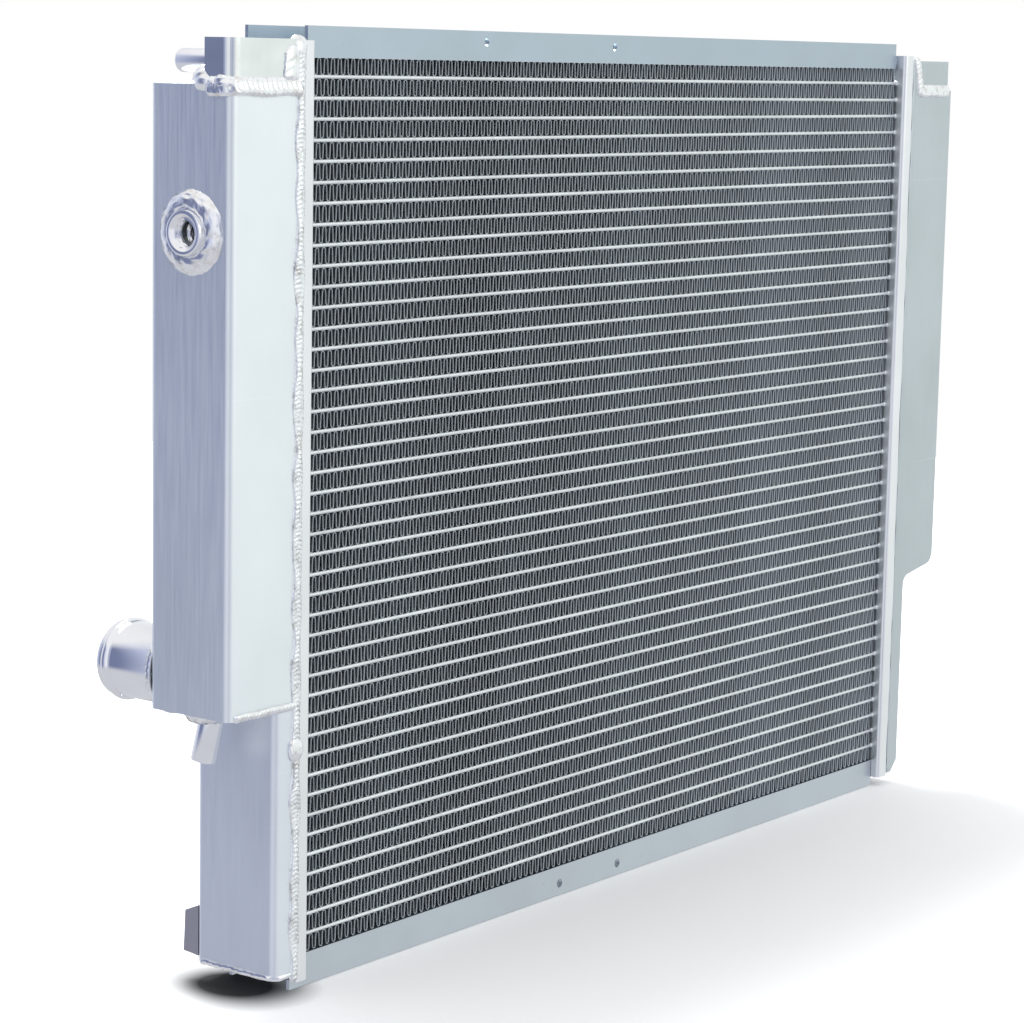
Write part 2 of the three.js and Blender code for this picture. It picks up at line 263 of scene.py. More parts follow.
def weld_material(name, colour, roughness, darkest=0.80):
    """Fresh weld metal: bright, slightly pitted, with patches a little darker or warmer."""
    m = Nodes(name, colour, roughness)
    patches = m.noise(170, (1, 1, 1), detail=5, roughness=0.65)
    pits = m.noise(900, (1, 1, 1), detail=3)
    warm = (colour[0] * 0.98, colour[1] * 0.95, colour[2] * 0.90)
    tones = [(0.32, scaled(warm, darkest)), (0.5, colour), (0.7, scaled(colour, 1.06))]
    m.set_colour(m.ramp(patches, tones))
    m.set_roughness(m.range(patches, roughness * 0.7, roughness * 1.5))
    m.bump(pits, 0.25, 0.0003)
    m.bump(patches, 0.35, 0.0006)
    return m.material


def fin_material():
    """Dull folded foil with louvre lines across its depth, painted highlights on its front and rear edges,
    slow patches of painted reflection and a paler, bluer right half that is painted reflection.
    """
    colour = (0.41, 0.445, 0.475)
    m = Nodes("fin_foil", colour, 0.42)
    slow = m.noise(7, (1.6, 1, 0.5), detail=3)
    fine = m.noise(300, (1, 1, 1), detail=2)
    # Slow, vertically stretched patches of lighter and darker tone are painted reflection.
    reflection_patches = m.ramp(slow, [(0.34, scaled(colour, 0.80)), (0.66, scaled(colour, 1.22))])
    specks_and_painted_sheen = m.mix(m.ramp(fine, [(0.55, (0, 0, 0)), (0.75, (0.6, 0.6, 0.6))]), reflection_patches, scaled(colour, 1.3))
    # A painted bluish sheen, a painted reflection, grows over the right half.
    specks_and_painted_sheen = m.mix(m.along_x(0.05, 0.27, 0, 0.22), specks_and_painted_sheen, (0.72, 0.80, 0.88))
    # A thin band along the front and rear edges gets a painted highlight.
    m.set_colour(m.mix(m.edges_along_y(FIN_EDGE_FROM * MM, FIN_EDGE_TO * MM), specks_and_painted_sheen, (0.60, 0.64, 0.68)))
    m.set_roughness(m.range(fine, 0.34, 0.52))
    wave = m.tree.nodes.new("ShaderNodeTexWave")
    wave.bands_direction = "Y"
    wave.inputs["Scale"].default_value = 160
    wave.inputs["Distortion"].default_value = 0
    m.tree.links.new(m.coordinates, wave.inputs["Vector"])
    m.bump(wave.outputs["Fac"], 0.6, 0.0004)
    return m.material


def tube_material():
    """Brazed tube noses: pale and bright, with uneven flux bloom along each tube."""
    colour = (0.80, 0.83, 0.84)
    m = Nodes("brazed_tubes", colour, 0.36)
    bloom = m.noise(40, (0.5, 1, 1.6), detail=5, roughness=0.7)
    specks = m.noise(500, (0.4, 1, 1), detail=2)
    m.set_colour(m.mix(m.ramp(specks, [(0.62, (0, 0, 0)), (0.72, (0.5, 0.5, 0.5))]),
                       m.ramp(bloom, [(0.3, scaled(colour, 0.86)), (0.7, scaled(colour, 1.08))]),
                       scaled(colour, 0.7)))
    m.set_roughness(m.range(bloom, 0.28, 0.46))
    m.bump(bloom, 0.2, 0.0004)
    return m.material


TANK_METAL = brushed_material("tank_brushed", (0.84, 0.885, 0.91), 0.42, (1.0, 1.0, 0.03))
LOWER_METAL = brushed_material("tank_lower_brushed", (0.78, 0.82, 0.87), 0.44, (1.0, 1.0, 0.03))
RIGHT_METAL = brushed_material("right_tank_satin", (0.54, 0.59, 0.62), 0.36, (1.0, 1.0, 0.04))
TOP_MILL = mill_material("top_channel_mill", (0.46, 0.535, 0.60), 0.38)
BOTTOM_MILL = mill_material("bottom_channel_mill", (0.56, 0.61, 0.655), 0.38)
HEADER_METAL = mill_material("header_mill", (0.86, 0.87, 0.89), 0.34)
POLISHED = polished_material("polished_fitting", (0.86, 0.87, 0.90), 0.09)
BOX_METAL = polished_material("box_polished", (0.82, 0.85, 0.84), 0.13)
WELD = weld_material("weld_metal", (0.88, 0.89, 0.91), 0.13)
ROUGH_WELD = weld_material("weld_metal_rough", (0.86, 0.88, 0.90), 0.28, darkest=0.62)
BOSS_METAL = polished_material("boss_turned", (0.88, 0.88, 0.91), 0.15)
# The rear foot tab's dark grey is painted shade, not a darker metal.
SHADED_TAB_METAL = brushed_material("tab_painted_shade", (0.46, 0.45, 0.48), 0.36, (1.0, 1.0, 0.03))
FIN_FOIL = fin_material()
TUBE_METAL = tube_material()


# ---------------------------------------------------------------- mesh helpers

def mesh_object(name, verts, faces, material, smooth_angle=40):
    """A piece from vertices in the radiator's millimetres, riding on the radiator's one body."""
    mesh = bpy.data.meshes.new(name)
    mesh.from_pydata([tuple(ORIGIN + Vector(v) * MM) for v in verts], [], faces)
    mesh.validate()
    mesh.shade_smooth()
    mesh.set_sharp_from_angle(angle=math.radians(smooth_angle))
    mesh.materials.append(material)
    piece = bpy.data.objects.new(name, mesh)
    bpy.context.scene.collection.objects.link(piece)
    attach(piece, "root")
    return piece


def ring_faces(rings, size, closed_along=False):
    """Quads between successive rings of size points each, with end caps unless the rings close up."""
    faces = []
    count = rings if closed_along else rings - 1
    for i in range(count):
        a, b = i * size, ((i + 1) % rings) * size
        for j in range(size):
            k = (j + 1) % size
            faces.append((a + j, a + k, b + k, b + j))
    if not closed_along:
        faces.append(tuple(reversed(range(size))))
        faces.append(tuple(range((rings - 1) * size, rings * size)))
    return faces


def frame_along(axis):
    """Two unit vectors square to the axis and to each other."""
    axis = Vector(axis).normalized()
    side = axis.cross(Vector((0, 0, 1)))
    if side.length < 1e-4:
        side = Vector((1, 0, 0))
    side.normalize()
    return side, axis.cross(side)


def turned(name, profile, foot, axis, material, steps=96, wobble=None):
    """A closed (radius, distance) profile turned about an axis; wobble may change a radius."""
    axis = Vector(axis).normalized()
    side, up = frame_along(axis)
    verts = []
    for i in range(steps):
        angle = 2 * math.pi * i / steps
        out = side * math.cos(angle) + up * math.sin(angle)
        for radius, distance in profile:
            if wobble:
                radius = wobble(radius, distance, angle)
            verts.append(Vector(foot) + out * radius + axis * distance)
    faces = ring_faces(steps, len(profile), closed_along=True)
    return mesh_object(name, verts, [tuple(reversed(f)) for f in faces], material)


def arc(centre, radius, start, end, steps):
    """Points (a, b) on an arc, with angles in degrees."""
    points = []
    for i in range(steps + 1):
        angle = math.radians(start + (end - start) * i / steps)
        points.append((centre[0] + radius * math.cos(angle), centre[1] + radius * math.sin(angle)))
    return points


# ---------------------------------------------------------------- welds

def weld_bead(name, path, normals, width, height, pitch, seed, material=None, closed=False, rough=0.12):
    """A weld bead along a path: overlapping curved ripples on a low crown, a little uneven in width.

    The bead's section is closed below, so that it sits into the surfaces that it joins.
    """
    rng = random.Random(seed)
    sections = 16
    ripple_depth = 0.24
    waves = [(rng.uniform(0.5, 2.2) / width, rng.uniform(0, 6.28), rng.uniform(0.3, 1.0)) for _ in range(5)]

    def drift(s, shift):
        total = sum(w for _, _, w in waves)
        return sum(w * math.sin(k * s + p + shift) for k, p, w in waves) / total

    verts = []
    distance = 0.0
    count = len(path)
    for i, (point, normal) in enumerate(zip(path, normals)):
        ahead = path[(i + 1) % count] if closed else path[min(i + 1, count - 1)]
        behind = path[i - 1] if closed or i > 0 else path[0]
        along = (Vector(ahead) - Vector(behind)).normalized()
        normal = Vector(normal).normalized()
        across = along.cross(normal).normalized()
        if i:
            distance += (Vector(point) - Vector(path[i - 1])).length
        spread = width / 2 * (1 + rough * drift(distance, 0))
        sway = across * (0.08 * width * drift(distance, 2.1))
        rise = height * (1 + rough * drift(distance, 4.2))
        fade = 1.0 if closed else min(1.0, 0.35 + min(i, count - 1 - i) / 6)
        for j in range(sections + 1):
            u = -1 + 2 * j / sections
            phase = distance / pitch - 0.9 * (1 - u * u)
            step = phase - math.floor(phase)
            ripple = (1 - step) ** 0.7 - 0.5
            crown = math.sqrt(max(0.0, 1 - u * u))
            lift = rise * fade * crown * (1 + ripple_depth * ripple)
            lift += rng.uniform(-1, 1) * rough * 0.3 * height * crown
            edge = spread * fade * (1 + 0.05 * ripple)
            verts.append(Vector(point) + sway + across * (u * edge) + normal * (lift - 0.12 * height))
        verts.append(Vector(point) + across * spread * 0.7 - normal * (0.35 * height))
        verts.append(Vector(point) - across * spread * 0.7 - normal * (0.35 * height))
    faces = ring_faces(count, sections + 3, closed_along=closed)
    return mesh_object(name, verts, faces, material or WELD, smooth_angle=60)


def line_points(start, end, step):
    start, end = Vector(start), Vector(end)
    count = max(3, int((end - start).length / step))
    return [start.lerp(end, i / count) for i in range(count + 1)]


def straight_weld(name, start, end, normal, width, height, pitch, seed, material=None, rough=0.12):
    path = line_points(start, end, pitch / 5)
    return weld_bead(name, path, [normal] * len(path), width, height, pitch, seed, material, rough=rough)


def path_weld(name, corners, normals, width, height, pitch, seed):
    """A bead through several corners, its normal turning from one corner's to the next's."""
    path, facing = [], []
    for (a, b), (m, n) in zip(zip(corners, corners[1:]), zip(normals, normals[1:])):
        points = line_points(a, b, pitch / 5)
        for i, point in enumerate(points[:-1]):
            path.append(point)
            facing.append(Vector(m).lerp(Vector(n), i / len(points)))
    path.append(Vector(corners[-1]))
    facing.append(Vector(normals[-1]))
    return weld_bead(name, path, facing, width, height, pitch, seed)


def ring_weld(name, centre, axis, radius, width, height, pitch, seed, slope):
    """A bead round a fitting; slope tilts the bead's normal outwards."""
    side, up = frame_along(axis)
    axis = Vector(axis).normalized()
    count = int(2 * math.pi * radius / (pitch / 5))
    path, normals = [], []
    for i in range(count):
        angle = 2 * math.pi * i / count
        out = side * math.cos(angle) + up * math.sin(angle)
        path.append(Vector(centre) + out * radius)
        normals.append(axis + out * slope)
    return weld_bead(name, path, normals, width, height, pitch, seed, closed=True)


def weld_blob(name, centre, radii, seed):
    """A puddle of weld metal: a flattened ball with soft lumps and ripples."""
    rng = random.Random(seed)
    lumps = [(Vector((rng.uniform(-1, 1), rng.uniform(-1, 1), rng.uniform(-1, 1))).normalized(),
              rng.uniform(0.5, 1.0)) for _ in range(7)]
    rings, size = 26, 36
    ripple = 0.032
    verts = []
    for i in range(rings):
        latitude = math.pi * (i + 0.5) / rings
        for j in range(size):
            longitude = 2 * math.pi * j / size
            d = Vector((math.sin(latitude) * math.cos(longitude), math.sin(latitude) * math.sin(longitude),
                        math.cos(latitude)))
            grow = 1.0
            for direction, weight in lumps:
                grow += 0.16 * weight * max(0.0, d.dot(direction)) ** 6
            grow += ripple * math.sin(9 * d.dot(lumps[0][0]) + 5 * d.dot(lumps[1][0]))
            local = Vector((d.x * radii[0], d.y * radii[1], d.z * radii[2])) * grow
            verts.append(Vector(centre) + local)
    return mesh_object(name, verts, ring_faces(rings, size), WELD, smooth_angle=80)


# ---------------------------------------------------------------- core

def fin_strip(seed):
    """One folded foil strip, centred on its row: narrow U folds whose legs lean in turn."""
    rng = random.Random(seed)
    leg_pitch = 2.5
    foil = 0.22
    lean = 0.2
    count = int((2 * CORE_HALF - 1.2) / leg_pitch)
    start = -leg_pitch * (count - 1) / 2
    top = FIN_HEIGHT / 2 + 0.25
    bend = 0.9
    centre_line = []
    drift = 0.0
    for i in range(count):
        drift = 0.85 * drift + rng.uniform(-0.10, 0.10)
        x = start + i * leg_pitch + drift
        rising = i % 2 == 0
        ends = ((-top, -lean), (top, lean)) if rising else ((top, -lean), (-top, lean))
        for k, (z, shift) in enumerate(ends):
            inward = -1 if z > 0 else 1
            toward_crown = -0.5 if k == 0 else 0.5
            leg_end = (x + shift * 0.8, z + inward * bend)
            crown = (x + shift + toward_crown, z + inward * foil / 2)
            centre_line.extend([crown, leg_end] if k == 0 else [leg_end, crown])
    left, right = [], []
    for i, (x, z) in enumerate(centre_line):
        a = Vector(centre_line[max(i - 1, 0)])
        b = Vector(centre_line[min(i + 1, len(centre_line) - 1)])
        along = (b - a).normalized()
        left.append((x - along.y * foil / 2, z + along.x * foil / 2))
        right.append((x + along.y * foil / 2, z - along.x * foil / 2))
    front, rear = FIN_LOW.y, FIN_HIGH.y
    verts = []
    for (lx, lz), (rx, rz) in zip(left, right):
        verts.extend([(lx, front, lz), (lx, rear, lz), (rx, rear, rz), (rx, front, rz)])
    faces = [tuple(reversed(f)) for f in ring_faces(len(left), 4)]
    mesh = bpy.data.meshes.new(f"fin_strip_{seed}")
    mesh.from_pydata([tuple(Vector(v) * MM) for v in verts], [], faces)
    mesh.shade_smooth()
    mesh.set_sharp_from_angle(angle=math.radians(40))
    mesh.materials.append(FIN_FOIL)
    return mesh


def build_fins():
    strips = [fin_strip(seed) for seed in range(1, 6)]
    for i, (name, z) in enumerate(zip(FIN_NODES, FIN_ROWS)):
        piece = bpy.data.objects.new(f"fins_{i + 1:02d}", strips[(i * 2) % len(strips)])
        bpy.context.scene.collection.objects.link(piece)
        piece.location = ORIGIN + Vector((0, 0, z)) * MM
        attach(piece, "root")
        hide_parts(name)


def build_tubes():
    """Flat tubes with round noses, all in one brazed bank."""
    nose = TUBE_THICKNESS / 2
    flat = TUBE_DEPTH / 2 - nose
    section = arc((flat, 0), nose, -90, 90, 10) + arc((-flat, 0), nose, 90, 270, 10)
    half = CORE_HALF + 1
    stations = 40
    rng = random.Random(7)
    for i, z in enumerate(TUBE_ROWS):
        bow = rng.uniform(-0.12, 0.12)
        phase = rng.uniform(0, 6.28)
        verts = []
        for s in range(stations + 1):
            x = -half + 2 * half * s / stations
            dip = bow * math.sin(3.1 * x / half + phase)
            verts.extend([(x, y, z + dip + h) for y, h in section])
        mesh_object(f"tube_{i + 1:02d}", verts, ring_faces(stations + 1, len(section)), TUBE_METAL)


def header_section(side):
    """The header plate seen from above: a plate with a flange on each edge, all with round bends."""
    sheet, bend = 2.0, 2.6
    core_x = CORE_HALF
    outer = [(HEADER_OUT, TANK_FRONT)]
    outer.extend(arc((core_x + bend, TANK_FRONT + bend), bend, 270, 180, 6))
    outer.extend(arc((core_x + bend, TANK_BACK - bend), bend, 180, 90, 6))
    outer.append((HEADER_OUT, TANK_BACK))
    inner = bend - sheet
    outer.append((HEADER_OUT, TANK_BACK - sheet))
    outer.extend(arc((core_x + bend, TANK_BACK - bend), inner, 90, 180, 4))
    outer.extend(arc((core_x + bend, TANK_FRONT + bend), inner, 180, 270, 4))
    outer.append((HEADER_OUT, TANK_FRONT + sheet))
    return [(side * x, y) for x, y in outer]


def build_headers():
    headers = []
    for side, name in ((-1, "left_header"), (1, "right_header")):
        section = header_section(side)
        levels = 24
        verts = []
        for i in range(levels + 1):
            z = HEADER_BOTTOM + (HEADER_TOP - HEADER_BOTTOM) * i / levels
            wave = 0.12 * math.sin(i * 1.7) + 0.08 * math.sin(i * 0.63 + 1)
            verts.extend([(x, y + (wave if abs(y) > 20 and abs(x) > CORE_HALF + 4 else 0), z)
                          for x, y in section])
        faces = ring_faces(levels + 1, len(section))
        if side < 0:
            faces = [tuple(reversed(f)) for f in faces]
        headers.append(mesh_object(name, verts, faces, HEADER_METAL))
    return headers


def build_tube_collars():
    """Braze fillets where each tube enters a header plate, on the core side."""
    nose = TUBE_THICKNESS / 2
    flat = TUBE_DEPTH / 2 - nose
    for side, name in ((-1, "left_braze_collars"), (1, "right_braze_collars")):
        verts, faces = [], []
        for z in TUBE_ROWS:
            base = len(verts)
            loops = ((0.75, 0.0), (0.35, 0.25), (0.02, 0.9))
            for grow, reach in loops:
                section = arc((flat, 0), nose + grow, -90, 90, 6)
                section += arc((-flat, 0), nose + grow, 90, 270, 6)
                x = side * (CORE_HALF + 0.1 - reach)
                verts.extend([(x, y, z + h) for y, h in section])
            size = len(section)
            for f in ring_faces(len(loops), size):
                faces.append(tuple(base + v for v in (f if side > 0 else reversed(f))))
        mesh_object(name, verts, faces, TUBE_METAL)


# ---------------------------------------------------------------- fittings

def hose_neck(name, node):
    """A hose neck with a rolled bead and a slightly rounded mouth."""
    low, high = node_mm(node)
    centre = middle(node)
    length = high.y - low.y
    bead = (high.x - low.x) / 2
    radius, bore = bead - 1.6, bead - 3.4
    start = 29
    profile = [(bore, 0), (radius + 0.6, 0), (radius, 1.5), (radius, start)]
    for i in range(1, 12):
        t = i / 12
        profile.append((radius + (bead - radius) * math.sin(math.pi * t) ** 0.8, start + 6 * t))
    profile.extend([(radius, start + 6), (radius, length - 0.7), (radius - 0.3, length - 0.2),
                    (radius - 0.8, length), (bore + 0.3, length), (bore, length - 0.4)])
    for i in range(1, 12):
        t = 1 - i / 12
        profile.append((bore + 1.2 * math.sin(math.pi * t), start + 6 * t))
    piece = turned(name, profile, (centre.x, low.y, centre.z), (0, 1, 0), POLISHED)
    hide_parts(node)
    return centre, radius, low.y


def threaded_boss():
    """The sensor boss: a turned ring with a countersunk, threaded hole."""
    node = "sensor_boss"
    low, high = node_mm(node)
    centre = middle(node)
    radius = (high.z - low.z) / 2
    proud = high.x - low.x
    depth = 16.0
    bore, thread_pitch, crest = 6.6, 2.4, 1.3
    profile = [(radius - 0.2, 0), (radius, 0.4), (radius, proud - 1.1), (radius - 0.35, proud - 0.3),
               (radius - 1.1, proud), (bore + 2.2, proud), (bore + 1.7, proud - 0.3),
               (bore + 0.6, proud - 1.5)]
    turns = 5
    per_turn = 10
    for i in range(turns * per_turn):
        profile.append((bore, proud - 1.6 - i * thread_pitch / per_turn))
    profile.extend([(bore + 1.5, proud - depth), (bore + 1.5, 0)])

    def threads(r, distance, angle):
        if abs(r - bore) > 0.01:
            return r
        phase = (distance / thread_pitch + angle / (2 * math.pi)) % 1.0
        return bore - crest / 2 + crest * abs(2 * phase - 1)

    piece = turned("threaded_boss", profile, (high.x, centre.y, centre.z), (-1, 0, 0), BOSS_METAL,
                   wobble=threads, steps=120)
    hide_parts(node)
    return centre, radius, high.x


def bleed_nipple():
    node = "bleed_nipple"
    low, high = node_mm(node)
    centre = middle(node)
    length = high.y - low.y
    radius = (high.x - low.x) / 2
    bore = radius - 1.6
    profile = [(bore, 0), (radius, 0), (radius, length - 1.2), (radius - 0.3, length - 0.4),
               (radius - 0.8, length), (bore, length)]
    piece = turned("bleed_pipe", profile, (centre.x, low.y, centre.z), (0, 1, 0), POLISHED, steps=64)
    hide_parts(node)
    return centre, radius, low.y


def locating_pin():
    node = "lower_pin"
    low, high = node_mm(node)
    radius = 6.2
    top = Vector((-320, -1.4, high.z))
    lean = Vector((-0.11, 0.15, -1))
    length = high.z - low.z - 1.0
    profile = [(0.01, -2), (radius, -2), (radius, length - 0.7), (radius - 0.25, length - 0.2),
               (radius - 0.8, length), (3.9, length), (3.6, length - 0.4), (3.6, length - 8),
               (0.01, length - 8)]
    piece = turned("locating_pin", profile, top, lean, POLISHED, steps=64)
    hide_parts(node)
    return top, radius


# ---------------------------------------------------------------- CAD pieces that stay

def finish_node(name, material, bevel):
    """Rounds a CAD node's sheet edges a little and gives it its metal."""
    node = NODES[name]
    node.data.materials.clear()
    node.data.materials.append(material)
    for polygon in node.data.polygons:
        polygon.use_smooth = True
    modifier = node.modifiers.new("edges", "BEVEL")
    modifier.width = bevel * MM
    modifier.segments = 3
    modifier.limit_method = "ANGLE"
    modifier.angle_limit = math.radians(28)
    modifier.harden_normals = True
    modifier.miter_outer = "MITER_ARC"
    return node


finish_node("top_side_channel", TOP_MILL, 0.5)
finish_node("bottom_side_channel", BOTTOM_MILL, 0.5)
finish_node("left_tank_upper", TANK_METAL, 0.6)
finish_node("left_tank_step_plate", TANK_METAL, 0.6)
finish_node("left_tank_lower", LOWER_METAL, 0.6)
finish_node("right_tank", RIGHT_METAL, 0.6)
finish_node("left_top_box", BOX_METAL, 0.8)
finish_node("right_top_box", RIGHT_METAL, 0.8)
finish_node("rear_foot_tab", SHADED_TAB_METAL, 0.5)


# ---------------------------------------------------------------- assembly

build_fins()
build_tubes()
left_header = build_headers()[0]
build_tube_collars()
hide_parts("tube_header_core")

outlet_centre, outlet_radius, neck_foot = hose_neck("outlet_pipe", "outlet_neck")
inlet_centre, inlet_radius, inlet_foot = hose_neck("inlet_pipe", "inlet_neck")
boss_centre, boss_radius, boss_foot = threaded_boss()
bleed_centre, bleed_radius, bleed_foot = bleed_nipple()
pin_top, pin_radius = locating_pin()

# Long welds between each header flange and its tank, front and back.
seam_x = HEADER_OUT + 1.9
straight_weld("left_front_seam", (-seam_x, TANK_FRONT, HEADER_BOTTOM + 1),
              (-seam_x, TANK_FRONT, HEADER_TOP - 2),
              (0, -1, 0), 6.6, 1.4, 2.2, 11, ROUGH_WELD, rough=0.42)
straight_weld("left_rear_seam", (-seam_x, TANK_BACK, HEADER_BOTTOM + 1), (-seam_x, TANK_BACK, LEFT[1].z),
              (0, 1, 0), 5.4, 1.9, 2.6, 12, ROUGH_WELD, rough=0.3)
straight_weld("right_front_seam", (seam_x, TANK_FRONT, RIGHT[0].z + 1),
              (seam_x, TANK_FRONT, HEADER_TOP - 2),
              (0, -1, 0), 3.4, 0.45, 2.6, 13, RIGHT_METAL, rough=0.2)
straight_weld("right_rear_seam", (seam_x, TANK_BACK, RIGHT[0].z + 1), (seam_x, TANK_BACK, RIGHT[1].z),
              (0, 1, 0), 5.0, 1.7, 2.6, 14, ROUGH_WELD, rough=0.3)

# Round the step plate's edge, and along the lower tank's foot.
step_z = STEP[0].z + 1.0
left_x = LEFT[0].x
path_weld("step_seam_front",
          [(-seam_x + 1, TANK_FRONT - 0.2, step_z), (left_x + 3.5, TANK_FRONT - 0.2, step_z)],
          [(0, -1, -0.5), (0, -1, -0.5)], 4.6, 1.6, 2.6, 21)
path_weld("step_seam_rear",
          [(-seam_x + 1, TANK_BACK + 0.2, step_z), (left_x + 3.5, TANK_BACK + 0.2, step_z)],
          [(0, 1, -0.5), (0, 1, -0.5)], 4.6, 1.6, 2.6, 22)
lower_x = LEFT_LOWER[0].x
under_step = STEP[0].z - 0.6
path_weld("step_fillet",
          [(lower_x - 0.4, TANK_FRONT + 3, under_step), (lower_x - 0.4, TANK_BACK - 3, under_step)],
          [(-1, 0, -1), (-1, 0, -1)], 5.5, 1.5, 2.6, 23)
foot_z = LEFT_LOWER[0].z + 0.6
path_weld("foot_seam", [(-seam_x, TANK_FRONT + 0.3, foot_z), (lower_x + 4, TANK_FRONT + 0.3, foot_z),
                        (lower_x + 0.3, TANK_FRONT + 4, foot_z), (lower_x + 0.3, TANK_BACK - 4, foot_z),
                        (lower_x + 4, TANK_BACK - 0.3, foot_z), (-seam_x, TANK_BACK - 0.3, foot_z)],
          [(0, -1, -0.9), (-0.3, -1, -0.9), (-1, -0.3, -0.9),
           (-1, 0.3, -0.9), (-0.3, 1, -0.9), (0, 1, -0.9)],
          3.4, 1.5, 4.2, 24)

# Round the fittings.
ring_weld("boss_weld", (boss_foot + 0.6, boss_centre.y, boss_centre.z), (-1, 0, 0),
          boss_radius + 4.8, 12.0, 3.2, 8.5, 31, slope=0.5)
ring_weld("outlet_weld", (outlet_centre.x, neck_foot + 0.6, outlet_centre.z), (0, 1, 0),
          outlet_radius + 1.2, 5.5, 2.4, 3.0, 32, slope=0.7)
ring_weld("inlet_weld", (inlet_centre.x, inlet_foot + 0.6, inlet_centre.z), (0, 1, 0),
          inlet_radius + 1.2, 5.5, 2.4, 3.0, 33, slope=0.7)
ring_weld("bleed_weld", (bleed_centre.x, bleed_foot + 0.4, bleed_centre.z), (0, 1, 0),
          bleed_radius + 1.0, 4.2, 1.9, 2.4, 34, slope=0.8)
ring_weld("pin_weld", (pin_top.x, pin_top.y, pin_top.z - 0.4), (0, 0, -1),
          pin_radius + 3.4, 10.5, 4.0, 4.5, 35, slope=0.5)

# Along the foot of each raised box, and in the corners beside the headers.
box_front = TANK_FRONT + 0.2
box_left, weld_z = LEFT_BOX[0].x, LEFT_BOX[0].z - 0.5
corner = [(box_left + 6 + 6.2 * math.cos(a), TANK_FRONT + 6 + 6.2 * math.sin(a))
          for a in (math.radians(d) for d in range(270, 179, -15))]
corners = [(-HEADER_OUT, box_front, weld_z)]
corners += [(x, y, weld_z) for x, y in corner]
corners += [(box_left - 0.2, -10, weld_z)]
facing = [(0, -1, 0.3)]
facing += [(x - box_left - 6, y - TANK_FRONT - 6, 2) for x, y in corner]
facing += [(-1, 0, 0.3)]
path_weld("left_box_weld", corners, facing, 10, 2.0, 3.4, 41)
right_weld_z = RIGHT_BOX[0].z
straight_weld("right_box_weld", (RIGHT_BOX[1].x - 2, box_front, right_weld_z),
              (HEADER_OUT + 8, box_front, right_weld_z), (0, -1, 0.25), 8.0, 1.6, 3.4, 42)
straight_weld("left_box_end_weld", (-HEADER_OUT - 9, box_front, LEFT_BOX[0].z),
              (-HEADER_OUT - 8, box_front, LEFT_BOX[1].z - 3), (0, -1, 0), 13, 1.8, 4.2, 43)
straight_weld("right_box_end_weld", (HEADER_OUT + 11, box_front, RIGHT_BOX[0].z - 4),
              (HEADER_OUT + 4, box_front, HEADER_TOP - 1), (0, -1, 0), 8, 2.0, 3.2, 44)
weld_blob("left_box_puddle", (box_left + 4.5, TANK_FRONT + 6, weld_z + 0.5), (6.5, 6.6, 5.8), 45)
weld_blob("bleed_puddle", (box_left + 3, bleed_foot + 2, LEFT_BOX[0].z + 1.5), (4.5, 7, 6), 47)
weld_blob("left_header_puddle", (-HEADER_OUT - 2, TANK_FRONT + 2.5, HEADER_TOP - 4), (5.5, 3.6, 6.5), 46)
weld_blob("left_seam_lump", (-seam_x, TANK_FRONT - 0.2, 123), (5.0, 1.7, 5.6), 48)


# ---------------------------------------------------------------- floor and light

floor_mesh = bpy.data.meshes.new("floor")
reach, sides = 1.9, 96
rim = [(reach * math.cos(2 * math.pi * i / sides), reach * math.sin(2 * math.pi * i / sides), 0)
       for i in range(sides)]
floor_mesh.from_pydata(rim, [], [tuple(range(sides))])
floor_colour = Nodes("studio_floor", (0.95, 0.95, 0.95), 0.9, metallic=0.0)
floor_cloud = floor_colour.noise(3, detail=3)
floor_tone = floor_colour.ramp(floor_cloud, [(0.3, (0.94, 0.94, 0.94)), (0.7, (0.97, 0.97, 0.97))])


def floor_patch(place, size):
    """1 at a place on the floor, falling to 0 over an ellipse of the given half-sizes, in metres."""
    mapping = floor_colour.tree.nodes.new("ShaderNodeMapping")
    mapping.vector_type = "TEXTURE"
    mapping.inputs["Location"].default_value = (*place, 0)
    mapping.inputs["Scale"].default_value = (*size, 1)
    floor_colour.tree.links.new(floor_colour.coordinates, mapping.inputs["Vector"])
    gradient = floor_colour.tree.nodes.new("ShaderNodeTexGradient")
    gradient.gradient_type = "SPHERICAL"
    floor_colour.tree.links.new(mapping.outputs["Vector"], gradient.inputs["Vector"])
    return gradient.outputs["Fac"]


# A painted contact shadow under the left tank's foot, and a painted glow over the floor that grows weaker
# near the radiator, as painted shade round it.
foot = floor_patch((-0.290, -0.012), (0.040, 0.048))
under_foot = floor_colour.ramp(foot, [(0.0, (0, 0, 0)), (0.6, (1, 1, 1))])
floor_colour.set_colour(floor_colour.mix(under_foot, floor_tone, (0.01, 0.01, 0.01)))
# Painted glow: the floor's emission, dimmer near the radiator as painted shade.
painted_shade_near_radiator = floor_patch((0.0, -0.02), (0.85, 0.42))
painted_glow = floor_colour.ramp(painted_shade_near_radiator, [(0.0, (0.27, 0.27, 0.27)), (0.9, (0.03, 0.03, 0.03))])
floor_colour.tree.links.new(floor_colour.mix(under_foot, painted_glow, (0, 0, 0)),
                            floor_colour.shader.inputs["Emission Color"])
floor_colour.shader.inputs["Emission Strength"].default_value = 1.0
floor_mesh.materials.append(floor_colour.material)
floor = bpy.data.objects.new("floor", floor_mesh)
floor.location = (0, 0, -0.0005)
floor.visible_glossy = False
bpy.context.scene.collection.objects.link(floor)


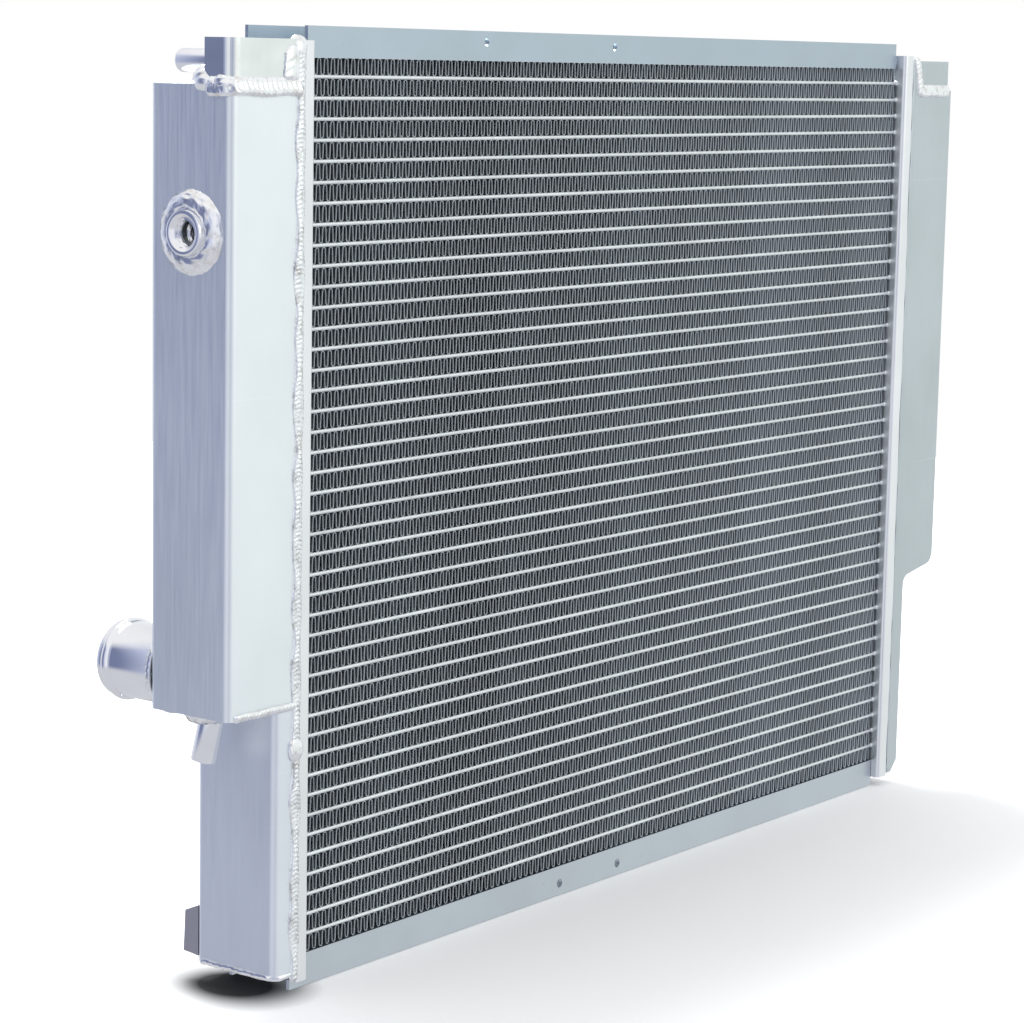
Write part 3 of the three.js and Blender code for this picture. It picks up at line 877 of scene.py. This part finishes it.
def studio_world():
    """White to the camera; a soft studio for reflections, cooler at the far left and pale in front."""
    world = bpy.data.worlds.new("studio")
    bpy.context.scene.world = world
    world.use_nodes = True
    tree = world.node_tree
    tree.nodes.clear()
    direction = tree.nodes.new("ShaderNodeTexCoord").outputs["Generated"]
    split = tree.nodes.new("ShaderNodeSeparateXYZ")
    tree.links.new(direction, split.inputs["Vector"])
    angle = tree.nodes.new("ShaderNodeMath")
    angle.operation = "ARCTAN2"
    tree.links.new(split.outputs["Y"], angle.inputs[0])
    tree.links.new(split.outputs["X"], angle.inputs[1])
    turn = tree.nodes.new("ShaderNodeMapRange")
    turn.inputs["From Min"].default_value = -math.pi
    turn.inputs["From Max"].default_value = math.pi
    tree.links.new(angle.outputs[0], turn.inputs["Value"])
    ramp = tree.nodes.new("ShaderNodeValToRGB")
    stops = [
        (-180, (0.84, 0.86, 0.92)),
        (-150, (0.95, 0.96, 1.00)),
        (-138, (0.46, 0.50, 0.64)),
        (-116, (0.46, 0.50, 0.64)),
        (-102, (0.95, 0.97, 0.97)),
        (-30, (0.93, 0.98, 0.96)),
        (20, (0.97, 0.98, 1.00)),
        (88, (0.85, 0.87, 0.92)),
        (112, (0.58, 0.63, 0.80)),
        (130, (0.20, 0.23, 0.37)),
        (154, (0.20, 0.23, 0.37)),
        (168, (0.62, 0.66, 0.84)),
    ]
    elements = ramp.color_ramp.elements
    while len(elements) < len(stops):
        elements.new(0.5)
    for element, (degrees, colour) in zip(elements, stops):
        element.position = (degrees + 180) / 360
        element.color = (*colour, 1)
    tree.links.new(turn.outputs["Result"], ramp.inputs["Fac"])
    up = tree.nodes.new("ShaderNodeMapRange")
    up.inputs["From Min"].default_value = 0.40
    up.inputs["From Max"].default_value = 0.60
    tree.links.new(split.outputs["Z"], up.inputs["Value"])
    sky = tree.nodes.new("ShaderNodeMix")
    sky.data_type = "RGBA"
    tree.links.new(up.outputs["Result"], sky.inputs["Factor"])
    tree.links.new(ramp.outputs["Color"], sky.inputs[6])
    sky.inputs[7].default_value = (1, 1, 1, 1)
    below = tree.nodes.new("ShaderNodeMapRange")
    below.inputs["From Min"].default_value = -0.22
    below.inputs["From Max"].default_value = -0.36
    tree.links.new(split.outputs["Z"], below.inputs["Value"])
    ground = tree.nodes.new("ShaderNodeMix")
    ground.data_type = "RGBA"
    tree.links.new(below.outputs["Result"], ground.inputs["Factor"])
    tree.links.new(sky.outputs[2], ground.inputs[6])
    ground.inputs[7].default_value = (0.66, 0.67, 0.71, 1)
    studio = tree.nodes.new("ShaderNodeBackground")
    studio.inputs["Strength"].default_value = 1.0
    tree.links.new(ground.outputs[2], studio.inputs["Color"])
    white = tree.nodes.new("ShaderNodeBackground")
    white.inputs["Color"].default_value = (1, 1, 1, 1)
    paths = tree.nodes.new("ShaderNodeLightPath")
    choose = tree.nodes.new("ShaderNodeMixShader")
    tree.links.new(paths.outputs["Is Camera Ray"], choose.inputs["Fac"])
    tree.links.new(studio.outputs[0], choose.inputs[1])
    tree.links.new(white.outputs[0], choose.inputs[2])
    output = tree.nodes.new("ShaderNodeOutputWorld")
    tree.links.new(choose.outputs[0], output.inputs["Surface"])


def softbox(name, place, target, size, power):
    light = bpy.data.lights.new(name, "AREA")
    light.shape = "RECTANGLE"
    light.size, light.size_y = size
    light.energy = power
    lamp = bpy.data.objects.new(name, light)
    lamp.location = place
    lamp.rotation_mode = "QUATERNION"
    lamp.rotation_quaternion = (Vector(target) - Vector(place)).to_track_quat("-Z", "Y")
    bpy.context.scene.collection.objects.link(lamp)
    return lamp


studio_world()
softbox("key_overhead", (0.3, 1.0, 2.2), (0, 0, 0.1), (1.1, 0.9), 70)
softbox("fill_front", (0.6, -2.2, 1.2), (0, 0, 0.2), (1.8, 1.4), 6)
bpy.context.scene.view_settings.view_transform = "Standard"
